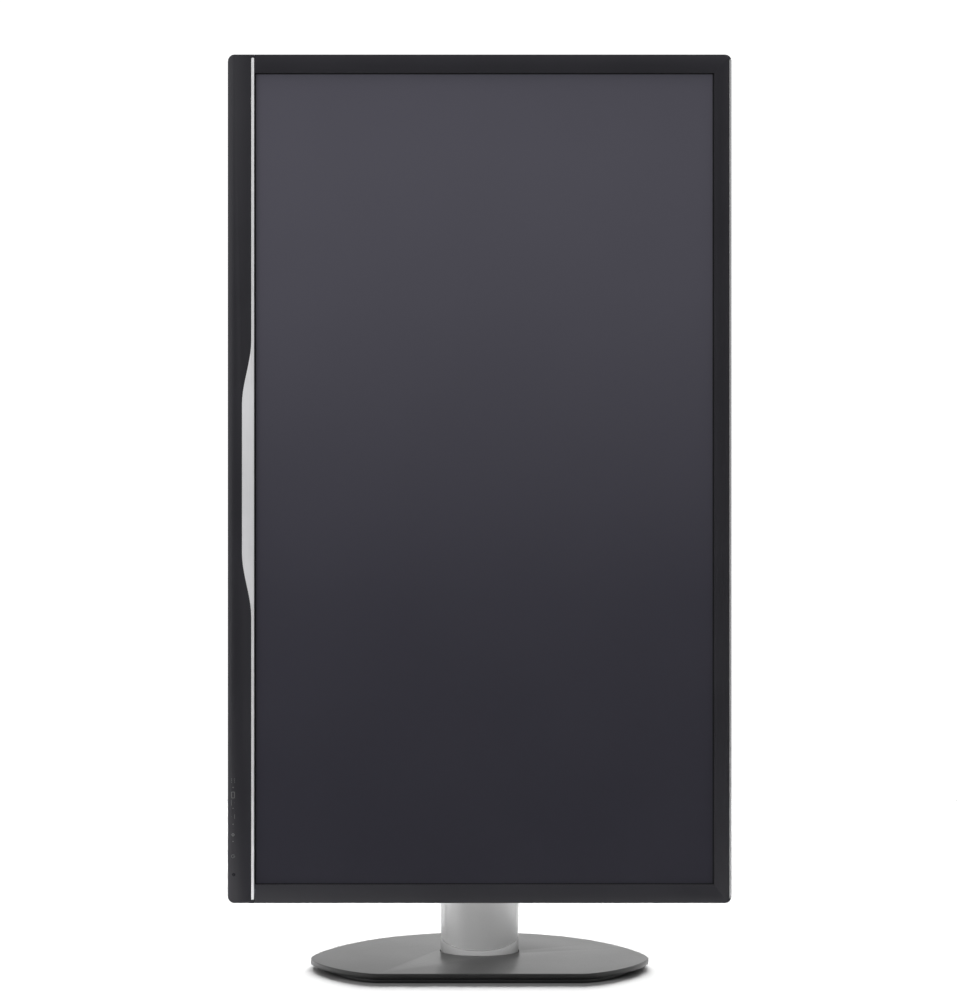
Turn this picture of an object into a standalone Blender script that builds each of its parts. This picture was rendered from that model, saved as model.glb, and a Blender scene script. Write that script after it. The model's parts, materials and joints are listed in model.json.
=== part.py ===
"""Desktop monitor with a 31.5-inch panel, on a stand that swivels, lifts, tilts and pivots.

All sizes here are millimetres, and solid() turns them into metres. +Z is up and the screen
faces -Y. The origin is on the table, under the middle of the base. The display stands
upright, so the edge that is lowest in landscape is on the left, at -X, and the edge that is
highest in landscape is on the right, at +X.
"""

import math

import bmesh
import bpy
from mathutils import Vector

MM = 0.001
GAP = 0.3                  # clearance between neighbouring pieces
LONG = 2000.0              # a cutter's reach where it runs right through

# Stand: the base and the round column
BASE_TOP = 8.4
BASE_RIM = 4.7             # thickness of the base cover's rim
BASE_DEPTH = 274.5
BASE_TIP = (151.9, -34.4)  # the outline's widest point
PLINTH_FLOOR = 0.5         # the plinth nearly touches the table, and its feet sit in pockets
PLINTH_DEPTH = 272.5
PLINTH_TIP = (136.0, -44.0)
FOOT_HEIGHT = 1.6
COLLAR_EDGE = 0.9          # bevel round the collar's upper edge
COLUMN_Y = 11.0            # the column's axis
COLUMN_R = 35.5
COLUMN_FLARE = 0.0095      # growth of the column's radius for each mm of height
COLUMN_TOP = 232.0
COLUMN_WALL = 2.5
SLANT = 0.27               # rise of the column's lower edge for each mm towards the back
SLANT_FRONT_Z = 12.6       # height of that edge at the column's front
POST_R = 30.5
POST_WALL = 2.5
POST_FOOT = 190.0

# Display: heights, and depths counted along Y
CENTRE_Z = 438.5           # pivot axis and middle of the screen
TILT_Y = -32.0             # tilt axis
HALF_LONG = 371.0          # half of the display's long side
LOW_X = -220.35            # the edge that is lowest in landscape
HIGH_X = 220.35            # the edge that is highest in landscape
TRIM_X = 218.0             # bottom of the rebate for that edge's trim
TRIM_HALF = 367.0
CORNER_R = 5.8
FRONT_Y = -118.0
LIP = 1.9                  # thickness of the bezel's front wall
WALL = 2.0                 # thickness of the bezel's side walls
BEZEL_BACK = -106.0
SCREEN_LOW_X = -196.9      # the chin's inner edge
SCREEN_HIGH_X = 205.2
SCREEN_HALF_LONG = 354.9
FLAT_BACK = -98.0          # the thin outer part of the rear cover
BULGE_BACK = -57.0         # the thick middle part of the rear cover
SHELL = 2.2
MOUNT_HALF = 59.5          # half side of the square recess for the stand
BAY_X = -80.0              # the wall that carries the sockets
BAY_Y = -82.0              # the bay's floor
BAY_HALF = 205.0
BOARD_Y = -80.0

# Accent strip on the chin, with its wider plate in the middle
STRIP_X = (-199.7, -197.25)
STRIP_HALF = 368.0
PLATE_X = -207.8
PLATE_HALF = 65.0
PLATE_TAPER = 56.0

BUTTON_Z = (-264.0, -279.5, -295.0, -310.5, -329.5)

# Sockets: name, z from the pivot axis, half width along z, half height along y, wall
SOCKETS = (
    ("hdmi_socket_1", -82.0, 7.6, 3.0, 0.6),
    ("hdmi_socket_2", -101.0, 7.6, 3.0, 0.6),
    ("display_socket", -121.0, 8.5, 3.1, 0.6),
    ("usb_hub_inlet", -155.0, 5.0, 4.9, 0.7),
    ("usb_socket_1", -172.0, 7.2, 3.5, 0.6),
    ("usb_socket_2", -190.0, 7.2, 3.5, 0.6),
    ("power_inlet", 130.0, 15.0, 10.6, 2.0),
)
INLET_Y = -71.0           # middle of the mains inlet, which isn't on the board

# Where each moving body's pieces have their origin: a point on its joint's axis
SWIVEL = (0.0, COLUMN_Y, 0.0)
LIFT = (0.0, COLUMN_Y, CENTRE_Z)
TILT = (0.0, TILT_Y, CENTRE_Z)
PIVOT = (0.0, BULGE_BACK, CENTRE_Z)
FIXED = (0.0, 0.0, 0.0)

# name: (colour, roughness, metallic)
FINISHES = {
    "black_plastic": ((0.025, 0.024, 0.030), 0.45, 0.0),
    "dark_plastic": ((0.035, 0.035, 0.040), 0.55, 0.0),
    "silver_trim": ((0.62, 0.62, 0.64), 0.30, 0.8),
    "screen": ((0.045, 0.043, 0.055), 0.12, 0.0),
    "column_metal": ((0.42, 0.42, 0.42), 0.32, 0.9),
    "base_lacquer": ((0.030, 0.030, 0.032), 0.32, 0.0),
    "steel": ((0.55, 0.56, 0.57), 0.35, 1.0),
    "nylon": ((0.75, 0.74, 0.70), 0.60, 0.0),
    "rubber": ((0.03, 0.03, 0.03), 0.85, 0.0),
    "board": ((0.03, 0.16, 0.07), 0.55, 0.0),
    "clear": ((0.85, 0.86, 0.88), 0.20, 0.0),
}


# Outlines in two dimensions, and rings of points in three

def arc(cx, cy, r, start, end, steps):
    """Points on an arc, in degrees anticlockwise, with both ends."""
    angles = [math.radians(start + (end - start) * i / steps) for i in range(steps + 1)]
    return [(cx + r * math.cos(a), cy + r * math.sin(a)) for a in angles]


def circle(cx, cy, r, steps=48):
    return arc(cx, cy, r, 0, 360, steps)[:-1]


def rounded(x0, x1, y0, y1, r, steps=3):
    """A rectangle with round corners, anticlockwise."""
    points = arc(x1 - r, y1 - r, r, 0, 90, steps)
    points += arc(x0 + r, y1 - r, r, 90, 180, steps)
    points += arc(x0 + r, y0 + r, r, 180, 270, steps)
    return points + arc(x1 - r, y0 + r, r, 270, 360, steps)


def rectangle(x0, x1, y0, y1):
    return [(x1, y0), (x1, y1), (x0, y1), (x0, y0)]


def bezier(p0, p1, p2, p3, steps):
    """Points on a cubic curve, without its last point."""
    points = []
    for i in range(steps):
        t = i / steps
        weights = ((1 - t) ** 3, 3 * t * (1 - t) ** 2, 3 * t * t * (1 - t), t ** 3)
        points.append(tuple(sum(w * p[k] for w, p in zip(weights, (p0, p1, p2, p3))) for k in (0, 1)))
    return points


def inset(outline, distance):
    """An anticlockwise outline moved inwards."""
    moved = []
    for i, point in enumerate(outline):
        here = Vector(point)
        before = (here - Vector(outline[i - 1])).normalized()
        after = (Vector(outline[(i + 1) % len(outline)]) - here).normalized()
        first = Vector((-before.y, before.x))
        mean = (first + Vector((-after.y, after.x))).normalized()
        moved.append(tuple(here + mean * (distance / mean.dot(first))))
    return moved


def at_x(points, x):
    """An outline of (y, z) points, at one x."""
    return [(x, a, b) for a, b in points]


def at_y(points, y):
    """An outline of (x, z) points, at one y."""
    return [(a, y, b) for a, b in points]


def at_z(points, z):
    """An outline of (x, y) points, at one z."""
    return [(a, b, z) for a, b in points]


# Solids

def material(finish):
    """The Principled material of a finish, made once."""
    if finish in bpy.data.materials:
        return bpy.data.materials[finish]
    made = bpy.data.materials.new(finish)
    made.use_nodes = True
    shader = made.node_tree.nodes["Principled BSDF"]
    colour, roughness, metallic = FINISHES[finish]
    shader.inputs["Base Color"].default_value = (*colour, 1.0)
    shader.inputs["Roughness"].default_value = roughness
    shader.inputs["Metallic"].default_value = metallic
    return made


def solid(name, rings, finish, origin=FIXED, closed=False):
    """One closed body through rings of points: capped at both ends, or closed on itself."""
    mesh_data = bmesh.new()
    loops = [[mesh_data.verts.new((Vector(p) - Vector(origin)) * MM) for p in ring] for ring in rings]
    pairs = list(zip(loops, loops[1:]))
    if closed:
        pairs.append((loops[-1], loops[0]))
    else:
        mesh_data.faces.new(loops[0])
        mesh_data.faces.new(loops[-1])
    for near, far in pairs:
        for i in range(len(near)):
            j = (i + 1) % len(near)
            mesh_data.faces.new((near[i], near[j], far[j], far[i]))
    bmesh.ops.recalc_face_normals(mesh_data, faces=mesh_data.faces)
    mesh = bpy.data.meshes.new(name)
    mesh_data.to_mesh(mesh)
    mesh_data.free()
    mesh.shade_smooth()
    mesh.set_sharp_from_angle(angle=math.radians(32))
    mesh.materials.append(material(finish))
    made = bpy.data.objects.new(name, mesh)
    made.location = Vector(origin) * MM
    bpy.context.scene.collection.objects.link(made)
    return made


def block(name, x, y, z, finish, origin=FIXED):
    """A box between two limits on each axis."""
    return solid(name, [at_z(rectangle(*x, *y), z[0]), at_z(rectangle(*x, *y), z[1])], finish, origin)


def turned_y(name, profile, finish, origin, closed=True, x=0.0, z=CENTRE_Z, steps=40):
    """A body turned about an axis along Y, from (radius, y) points."""
    return solid(name, [at_y(circle(x, z, r, steps), y) for r, y in profile], finish, origin, closed)


def turned_z(name, profile, finish, origin, closed=True, steps=48):
    """A body turned about the column's axis, from (radius, z) points."""
    return solid(name, [at_z(circle(0, COLUMN_Y, r, steps), z) for r, z in profile], finish, origin, closed)


def combine(target, tool, operation="DIFFERENCE"):
    """Cut the tool away from the target, or join it on, and hide the tool."""
    modifier = target.modifiers.new(tool.name, "BOOLEAN")
    modifier.operation = operation
    modifier.object = tool
    tool.hide_render = True
    tool.display_type = "WIRE"
    return target


def cut_block(target, name, x, y, z):
    return combine(target, block("cutter_" + name, x, y, z, "steel"))


def join_block(target, name, x, y, z):
    return combine(target, block("adder_" + name, x, y, z, "steel"), "UNION")


# The base, which stays still

def base_outline(depth, tip, shoulder):
    """Plan of the base, anticlockwise: straight front, round shoulders, pointed tips, drawn-in back."""
    front = -depth / 2
    back = depth / 2
    right = bezier((89.0, front), (shoulder[0], front), (tip[0], shoulder[1]), tip, 10)
    right += bezier(tip, (tip[0], -5.0), (110.0, back), (0.0, back), 14)
    left = [(-x, y) for x, y in reversed(right)]
    return right + [(0.0, back)] + left


def build_base():
    outline = base_outline(BASE_DEPTH, BASE_TIP, (110.0, -76.0))
    edge = 0.6
    under = BASE_TOP - BASE_RIM
    rings = [at_z(outline, under), at_z(outline, BASE_TOP - edge), at_z(inset(outline, edge), BASE_TOP)]
    cover = solid("base_cover", rings, "base_lacquer")
    pocket = inset(outline, 9.0)
    pocket_top = under + 2.0
    tool = solid("cutter_pocket", [at_z(pocket, under - 1), at_z(pocket, pocket_top)], "steel")
    combine(cover, tool)
    hole = [(COLUMN_R + 0.7, 0.0), (COLUMN_R + 0.7, BASE_TOP + 1)]
    combine(cover, turned_z("cutter_collar_hole", hole, "steel", FIXED, closed=False))

    plate = inset(outline, 9.0 + GAP)
    weight = solid("base_weight", [at_z(plate, under), at_z(plate, pocket_top - GAP)], "steel")
    combine(weight, turned_z("cutter_weight", [(10.0, 0.0), (10.0, 20.0)], "steel", FIXED, closed=False))

    plinth_line = base_outline(PLINTH_DEPTH, PLINTH_TIP, (106.0, -90.0))
    plinth_rings = [at_z(plinth_line, PLINTH_FLOOR), at_z(plinth_line, under - GAP)]
    plinth = solid("base_plinth", plinth_rings, "dark_plastic")
    combine(plinth, turned_z("cutter_plinth", [(15.5, 0.0), (15.5, 20.0)], "steel", FIXED, closed=False))

    foot_r = 8.5
    for index, (x, y) in enumerate(((-108, -76), (108, -76), (-72, 92), (72, 92)), start=1):
        seat = circle(x, y, foot_r + GAP, 20)
        seat_rings = [at_z(seat, -1.0), at_z(seat, FOOT_HEIGHT + GAP)]
        combine(plinth, solid(f"cutter_foot_{index}", seat_rings, "steel"))
        rings = [at_z(circle(x, y, foot_r - 0.5, 20), 0.0), at_z(circle(x, y, foot_r, 20), FOOT_HEIGHT)]
        solid(f"foot_{index}", rings, "rubber")

    turned_z("swivel_spindle", [(15.0, 1.6), (15.0, 3.3), (9.7, 3.3), (9.7, 20.5)], "steel", FIXED,
             closed=False, steps=24)
    turned_z("swivel_nut", [(10.0, 11.8), (10.0, 16.5), (17.0, 16.5), (17.0, 11.8)], "steel", FIXED,
             steps=24)
    turned_z("swivel_washer", [(10.3, 5.7), (10.3, 6.2), (30.0, 6.2), (30.0, 5.7)], "nylon", FIXED,
             steps=24)


# The column, which swivels on the base

def slant_z(y):
    """Height of the slanting joint between the collar and the column."""
    return SLANT_FRONT_Z + SLANT * (y - (COLUMN_Y - COLUMN_R))


def slanted(r, lift, steps=48):
    """A ring of the column's section on the slanting plane, raised by lift."""
    return [(x, y, slant_z(y) + lift) for x, y in circle(0, COLUMN_Y, r, steps)]


def column_radius(z):
    return COLUMN_R + COLUMN_FLARE * max(0.0, z - SLANT_FRONT_Z)


def build_column():
    floor = 11.5
    under = 6.5
    bore = 10.0
    hollow = COLUMN_R - COLUMN_WALL
    rings = [
        at_z(circle(0, COLUMN_Y, COLUMN_R), under),
        slanted(COLUMN_R, -GAP / 2 - COLLAR_EDGE),
        slanted(COLUMN_R - COLLAR_EDGE / 2, -GAP / 2),
        slanted(hollow, -GAP / 2),
        at_z(circle(0, COLUMN_Y, hollow), floor),
        at_z(circle(0, COLUMN_Y, bore), floor),
        at_z(circle(0, COLUMN_Y, bore), under),
    ]
    solid("swivel_collar", rings, "column_metal", SWIVEL, closed=True)

    foot_r = COLUMN_R - COLLAR_EDGE / 2
    top_r = column_radius(COLUMN_TOP)
    outside = [slanted(foot_r, GAP / 2), slanted(foot_r + 0.3, 14.0)]
    for z in (70.0, 150.0, COLUMN_TOP - 1.0):
        outside.append(at_z(circle(0, COLUMN_Y, column_radius(z)), z))
    outside.append(at_z(circle(0, COLUMN_Y, top_r - 1.0), COLUMN_TOP))
    inside = [at_z(circle(0, COLUMN_Y, top_r - COLUMN_WALL), COLUMN_TOP), slanted(hollow, GAP / 2)]
    solid("column_sleeve", outside + inside, "column_metal", SWIVEL, closed=True)

    bush_r = top_r - COLUMN_WALL - 2 * GAP
    profile = [(POST_R + GAP, 212.0), (POST_R + GAP, 231.5), (bush_r, 231.5), (bush_r, 212.0)]
    turned_z("column_bush", profile, "nylon", SWIVEL)

    rail = block("guide_rail", (-12, 12), (22, 30), (24, 226), "steel", SWIVEL)
    cut_block(rail, "rail", (-9, 9), (24.5, 40), (0, 300))
    drum_y = 3.0
    drum_z = 200.0
    drum = [at_x(circle(drum_y, drum_z, 13.0, 24), x) for x in (-10.0, 10.0)]
    solid("spring_drum", drum, "nylon", SWIVEL)
    coil_section = ((13.4, -9.0), (13.4, 9.0), (17.0, 9.0), (17.0, -9.0))
    coil = [at_x(circle(drum_y, drum_z, r, 24), x) for r, x in coil_section]
    solid("lift_spring", coil, "steel", SWIVEL, closed=True)


# The post, which slides up and down in the column

def build_post():
    top = CENTRE_Z + 21.5
    hollow = POST_R - POST_WALL
    profile = [(POST_R, POST_FOOT), (POST_R, top), (hollow, top), (hollow, POST_FOOT)]
    turned_z("lift_post", profile, "column_metal", LIFT)
    profile = [(POST_R + GAP, POST_FOOT), (POST_R + GAP, POST_FOOT + 12), (32.3, POST_FOOT + 12),
               (32.3, POST_FOOT)]
    turned_z("post_slider", profile, "nylon", LIFT)

    web_y = (COLUMN_Y - POST_R - 3.3, COLUMN_Y - POST_R - GAP)
    ear_y = -40.0
    height = (CENTRE_Z - 19, CENTRE_Z + 19)
    bracket = block("head_bracket", (-28.1, 28.1), (ear_y, web_y[1]), height, "steel", LIFT)
    cut_block(bracket, "bracket", (-25.1, 25.1), (-60, web_y[0]), (CENTRE_Z - 40, CENTRE_Z + 40))
    bores = [at_x(circle(TILT_Y, CENTRE_Z, 4.3, 20), x) for x in (-40.0, 40.0)]
    combine(bracket, solid("cutter_ears", bores, "steel"))
    shaft = [at_x(circle(TILT_Y, CENTRE_Z, 4.0, 20), x) for x in (-31.0, 31.0)]
    solid("tilt_shaft", shaft, "steel", LIFT)
    washer_section = ((4.3, 0.0), (4.3, 1.5), (9.0, 1.5), (9.0, 0.0))
    for side, x in (("left", -24.8), ("right", 23.3)):
        rings = [at_x(circle(TILT_Y, CENTRE_Z, r, 20), x + depth) for r, depth in washer_section]
        solid("tilt_washer_" + side, rings, "nylon", LIFT, closed=True)
    build_head_cover()


def head_outline(half, front):
    """Plan of the head cover: square in front, round behind."""
    return [(-half, front), (half, front)] + arc(0, COLUMN_Y, half, 0, 180, 16)


def build_head_cover():
    half = 34.5
    wall = 2.0
    front = -41.0
    low = CENTRE_Z - 24
    high = CENTRE_Z + 24
    edge = 1.5
    outer = head_outline(half, front)
    inner = head_outline(half - wall, front + wall)
    rings = [
        at_z(inner, high - wall),
        at_z(inner, low),
        at_z(outer, low),
        at_z(outer, high - edge),
        at_z(inset(outer, edge), high),
    ]
    cover = solid("head_cover", rings, "dark_plastic", LIFT)
    cut_block(cover, "head_front", (-31, 31), (-60, -37), (low - 10, high - 3))


# The head, which tilts on the post

def build_tilt_head():
    profile = [(12.0, -58.7), (36.0, -58.7), (36.0, -51.0), (12.0, -51.0)]
    head = turned_y("tilt_head", profile, "dark_plastic", TILT)
    lug = [(-52.0, CENTRE_Z - 11), (-52.0, CENTRE_Z + 11)] + arc(TILT_Y, CENTRE_Z, 8.5, 90, -90, 8)
    for index, (x0, x1) in enumerate(((-23.0, -17.5), (17.5, 23.0)), start=1):
        combine(head, solid(f"adder_lug_{index}", [at_x(lug, x0), at_x(lug, x1)], "steel"), "UNION")
    bores = [at_x(circle(TILT_Y, CENTRE_Z, 4.3, 20), x) for x in (-40.0, 40.0)]
    combine(head, solid("cutter_lugs", bores, "steel"))
    profile = [(12.0, -50.7), (12.0, -49.2), (17.0, -49.2), (17.0, -50.7)]
    turned_y("pivot_washer", profile, "nylon", TILT, steps=24)


# The display, which pivots on the head

def build_mount():
    half = 57.0
    plate = rounded(-half, half, CENTRE_Z - half, CENTRE_Z + half, 8.0)
    mount = solid("vesa_plate", [at_y(plate, -65.7), at_y(plate, -62.9)], "steel", PIVOT)
    for index, (side, up) in enumerate(((-1, -1), (1, -1), (-1, 1), (1, 1)), start=1):
        x = side * 50.0
        z = CENTRE_Z + up * 50.0
        turned_y(f"plate_screw_{index}", [(3.9, -62.6), (3.9, -61.0), (3.0, -60.2)], "steel", PIVOT,
                 closed=False, x=x, z=z, steps=14)
    profile = [(32.0, -62.6), (32.0, -59.0), (11.7, -59.0), (11.7, -41.5)]
    turned_y("pivot_spindle", profile, "steel", PIVOT, closed=False)
    profile = [(12.0, -48.9), (12.0, -44.0), (16.5, -44.0), (16.5, -48.9)]
    turned_y("pivot_nut", profile, "steel", PIVOT, steps=24)

    side = 66.0
    face = (CENTRE_Z - side, CENTRE_Z + side)
    bracket = block("mount_bracket", (-side, side), (-68.6, -66.3), face, "steel", PIVOT)
    for index, (sx, sz) in enumerate(((-1, -1), (1, -1), (-1, 1), (1, 1)), start=1):
        xs = sorted((sx * side, sx * (side - 8)))
        zs = sorted((CENTRE_Z + sz * side, CENTRE_Z + sz * (side - 8)))
        join_block(bracket, f"leg_{index}", xs, (-100.5, -67.5), zs)


def display_ring(y, x0, x1, half, r, steps=4):
    return at_y(rounded(x0, x1, CENTRE_Z - half, CENTRE_Z + half, r, steps), y)


def build_rear_cover():
    """A thin pan with a thick middle, open to the front."""
    outside = [
        display_ring(BEZEL_BACK + GAP, LOW_X, HIGH_X, HALF_LONG, CORNER_R),
        display_ring(-101.5, LOW_X, HIGH_X, HALF_LONG, CORNER_R),
        display_ring(-99.0, LOW_X + 1.6, HIGH_X - 1.6, HALF_LONG - 1.6, CORNER_R),
        display_ring(FLAT_BACK, LOW_X + 5, HIGH_X - 5, HALF_LONG - 5, CORNER_R + 3),
        display_ring(FLAT_BACK + 0.4, -152, 152, 292, 60),
        display_ring(FLAT_BACK + 4, -147, 147, 287, 57),
        display_ring(-63.5, -121.5, 121.5, 251.5, 38),
        display_ring(-58.5, -118, 118, 248, 36),
        display_ring(BULGE_BACK, -112, 112, 242, 34),
    ]
    inside = [
        display_ring(BULGE_BACK - SHELL, -112, 112, 242, 34),
        display_ring(-65.0, -119, 119, 249, 36),
        display_ring(FLAT_BACK + 2.6, -145, 145, 285, 55),
        display_ring(FLAT_BACK - SHELL, -150, 150, 290, 58),
        display_ring(FLAT_BACK - SHELL, LOW_X + 6, HIGH_X - 6, HALF_LONG - 6, CORNER_R + 2),
        display_ring(-102.5, LOW_X + SHELL, HIGH_X - SHELL, HALF_LONG - SHELL, CORNER_R - 2),
        display_ring(BEZEL_BACK + GAP, LOW_X + SHELL, HIGH_X - SHELL, HALF_LONG - SHELL, CORNER_R - 2),
    ]
    rings = list(reversed(outside)) + list(reversed(inside))
    cover = solid("rear_cover", rings, "black_plastic", PIVOT)
    recess = MOUNT_HALF
    lining = recess + 2.2
    tube = [display_ring(y, -h, h, h, 8.0) for h, y in
            ((lining, -66.0), (lining, -58.2), (recess, -58.2), (recess, -66.0))]
    combine(cover, solid("adder_recess", tube, "steel", closed=True), "UNION")
    hole = [display_ring(y, -recess, recess, recess, 8.0) for y in (-70.0, -50.0)]
    combine(cover, solid("cutter_recess", hole, "steel"))
    bay_z = (CENTRE_Z - BAY_HALF - 1.7, CENTRE_Z + BAY_HALF + 1.7)
    cut_block(cover, "bay", (-200, BAY_X + 1.5), (BAY_Y - 0.3, -40), bay_z)
    slots = 31
    pitch = 13.0
    for index in range(slots):
        z = CENTRE_Z + (index - (slots - 1) / 2) * pitch
        cut_block(cover, f"vent_{index}", (100, 170), (-88, -68), (z - 1.5, z + 1.5))


def build_bay():
    """The L-shaped tray that the sockets face into, and the sockets in its wall."""
    bay_z = (CENTRE_Z - BAY_HALF, CENTRE_Z + BAY_HALF)
    end = 1.4
    bay = block("socket_bay", (-133.5, BAY_X + 1.8), (BAY_Y - 1.8, -59.6),
                (bay_z[0] - end, bay_z[1] + end), "black_plastic", PIVOT)
    cut_block(bay, "bay_hollow", (-200, BAY_X), (BAY_Y, -40), bay_z)
    for name, z, half_z, half_y, wall in SOCKETS:
        y = BOARD_Y + GAP + half_y if name != "power_inlet" else INLET_Y
        build_socket(bay, name, y, CENTRE_Z + z, half_z, half_y, wall)
    jack_y = BOARD_Y + GAP + 3.2
    jack_z = CENTRE_Z - 139.0
    window = [at_x(circle(jack_y, jack_z, 3.2 + GAP, 16), x) for x in (BAY_X - 5, BAY_X + 5)]
    combine(bay, solid("cutter_window_jack", window, "steel"))
    jack_section = ((3.2, 14.0), (3.2, 0.0), (1.8, 0.0), (1.8, 12.0))
    rings = [at_x(circle(jack_y, jack_z, r, 16), BAY_X + depth) for r, depth in jack_section]
    solid("audio_jack", rings, "steel", PIVOT)


def build_socket(bay, name, y, z, half_z, half_y, wall):
    """A cup that opens towards the bay, in its own window in the bay's wall."""
    window_y = (y - half_y - GAP, y + half_y + GAP)
    window_z = (z - half_z - GAP, z + half_z + GAP)
    cut_block(bay, "window_" + name, (BAY_X - 5, BAY_X + 5), window_y, window_z)
    outer = rounded(y - half_y, y + half_y, z - half_z, z + half_z, 1.0, 2)
    inner = rounded(y - half_y + wall, y + half_y - wall, z - half_z + wall, z + half_z - wall, 0.5, 2)
    mains = name == "power_inlet"
    depth = 16.0 if mains else 13.0
    rings = [
        at_x(outer, BAY_X + depth),
        at_x(outer, BAY_X),
        at_x(inner, BAY_X),
        at_x(inner, BAY_X + depth - 2),
    ]
    socket = solid(name, rings, "dark_plastic" if mains else "steel", PIVOT)
    if mains:
        for index, (dy, dz) in enumerate(((2.5, 0.0), (-2.5, -7.0), (-2.5, 7.0)), start=1):
            join_block(socket, f"pin_{index}", (BAY_X + 6, BAY_X + depth - 1), (y + dy - 2, y + dy + 2),
                       (z + dz - 1, z + dz + 1))


def build_electronics():
    board_y = (BOARD_Y - 1.6, BOARD_Y)
    block("main_board", (-76, 70), board_y, (CENTRE_Z - 202, CENTRE_Z - 72), "board", PIVOT)
    block("power_board", (-60, 70), board_y, (CENTRE_Z + 72, CENTRE_Z + 200), "board", PIVOT)
    key_z = (CENTRE_Z - 338, CENTRE_Z - 255)
    block("key_board", (-214.4, -213.0), (-115.0, -107.5), key_z, "board", PIVOT)


def build_panel():
    """The layers of the LCD panel, front to back, in their steel pan."""
    long_z = (CENTRE_Z - 359, CENTRE_Z + 359)
    block("lcd_glass", (-199.5, 209.0), (-115.8, -114.0), long_z, "screen", PIVOT)
    rings = [
        display_ring(-100.9, -210, 210.5, 363, 3),
        display_ring(-113.7, -210, 210.5, 363, 3),
        display_ring(-113.7, -208.8, 209.3, 361.8, 2),
        display_ring(-102.0, -208.8, 209.3, 361.8, 2),
    ]
    solid("backlight_pan", rings, "steel", PIVOT)
    inner_z = (CENTRE_Z - 358, CENTRE_Z + 358)
    block("diffuser_sheet", (-199.5, 208.7), (-113.5, -112.8), inner_z, "clear", PIVOT)
    block("light_guide", (-199.5, 208.7), (-112.5, -109.5), inner_z, "clear", PIVOT)
    strip_z = (CENTRE_Z - 350, CENTRE_Z + 350)
    block("led_strip", (-203.5, -200.5), (-113.0, -105.0), strip_z, "clear", PIVOT)


# The bezel: the chin, the frame round the other three sides, and the bright trims

def strip_outline(grow):
    """The accent strip's outline, with its plate in the middle, grown all round."""
    taper_end = PLATE_HALF + PLATE_TAPER
    steps = 10
    rise = []
    for i in range(steps + 1):
        t = i / steps
        swell = t * t * (3 - 2 * t)
        x = STRIP_X[0] + (PLATE_X - STRIP_X[0]) * swell
        rise.append((x - grow, CENTRE_Z + taper_end - PLATE_TAPER * t))
    fall = [(x, 2 * CENTRE_Z - z) for x, z in reversed(rise)]
    low = CENTRE_Z - STRIP_HALF - grow
    high = CENTRE_Z + STRIP_HALF + grow
    left = STRIP_X[0] - grow
    right = STRIP_X[1] + grow
    return [(left, low), (right, low), (right, high), (left, high)] + rise + fall


def chin_chamfer():
    """What is cut off the chin's front, so that it falls away towards the outer edge."""
    reach = 6.2
    drop = 1.8
    steps = 5
    inner_x = LOW_X + reach
    curve = [(inner_x - reach * i / steps, FRONT_Y + drop * (i / steps) ** 2) for i in range(steps + 1)]
    section = curve + [(LOW_X - 3, FRONT_Y + drop), (LOW_X - 3, FRONT_Y - 3), (inner_x, FRONT_Y - 3)]
    return [at_z(section, CENTRE_Z - 400), at_z(section, CENTRE_Z + 400)]


def build_bezel():
    low = CENTRE_Z - HALF_LONG
    high = CENTRE_Z + HALF_LONG
    r = CORNER_R
    left_side = arc(LOW_X + r, high - r, r, 90, 180, 4) + arc(LOW_X + r, low + r, r, 180, 270, 4)
    chin_line = [(SCREEN_LOW_X, low), (SCREEN_LOW_X, high)] + left_side
    chin_rings = [at_y(chin_line, FRONT_Y), at_y(chin_line, BEZEL_BACK)]
    chin = solid("bezel_chin", chin_rings, "black_plastic", PIVOT)
    inner_z = (low + WALL, high - WALL)
    behind_lip = (FRONT_Y + LIP, 0.0)
    cut_block(chin, "chin_pocket", (LOW_X + WALL, 0), behind_lip, inner_z)
    combine(chin, solid("cutter_chamfer", chin_chamfer(), "steel"))
    groove = [at_y(strip_outline(GAP), FRONT_Y - 2), at_y(strip_outline(GAP), FRONT_Y + 0.9)]
    combine(chin, solid("cutter_groove", groove, "steel"))
    strip = strip_outline(0.0)
    solid("accent_strip", [at_y(strip, FRONT_Y - 0.15), at_y(strip, FRONT_Y + 0.6)], "silver_trim", PIVOT)

    right_side = arc(HIGH_X - r, low + r, r, 270, 360, 4) + arc(HIGH_X - r, high - r, r, 0, 90, 4)
    start = SCREEN_LOW_X + GAP
    frame_line = [(start, high), (start, low)] + right_side
    frame_rings = [at_y(frame_line, FRONT_Y), at_y(frame_line, BEZEL_BACK)]
    frame = solid("bezel_frame", frame_rings, "black_plastic", PIVOT)
    screen_z = (CENTRE_Z - SCREEN_HALF_LONG, CENTRE_Z + SCREEN_HALF_LONG)
    cut_block(frame, "aperture", (-300, SCREEN_HIGH_X), (-200, 0), screen_z)
    cut_block(frame, "frame_pocket", (-300, TRIM_X - WALL), behind_lip, inner_z)
    build_trim(frame)
    build_buttons(chin)


def build_trim(frame):
    """The silver trim, in a rebate along the bezel's outer wall."""
    reach = TRIM_HALF + GAP
    cut_block(frame, "rebate", (TRIM_X, HIGH_X + 5), (-200, 0), (CENTRE_Z - reach, CENTRE_Z + reach))
    lead = 1.2
    stations = ((-TRIM_HALF, 0.5), (lead - TRIM_HALF, 0.0), (TRIM_HALF - lead, 0.0), (TRIM_HALF, 0.5))
    rings = []
    for z, drawn_in in stations:
        section = rounded(TRIM_X + GAP, HIGH_X - drawn_in, FRONT_Y + 0.3, BEZEL_BACK - 0.5, 0.7, 3)
        rings.append(at_z(section, CENTRE_Z + z))
    solid("top_trim", rings, "silver_trim", PIVOT)


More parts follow.
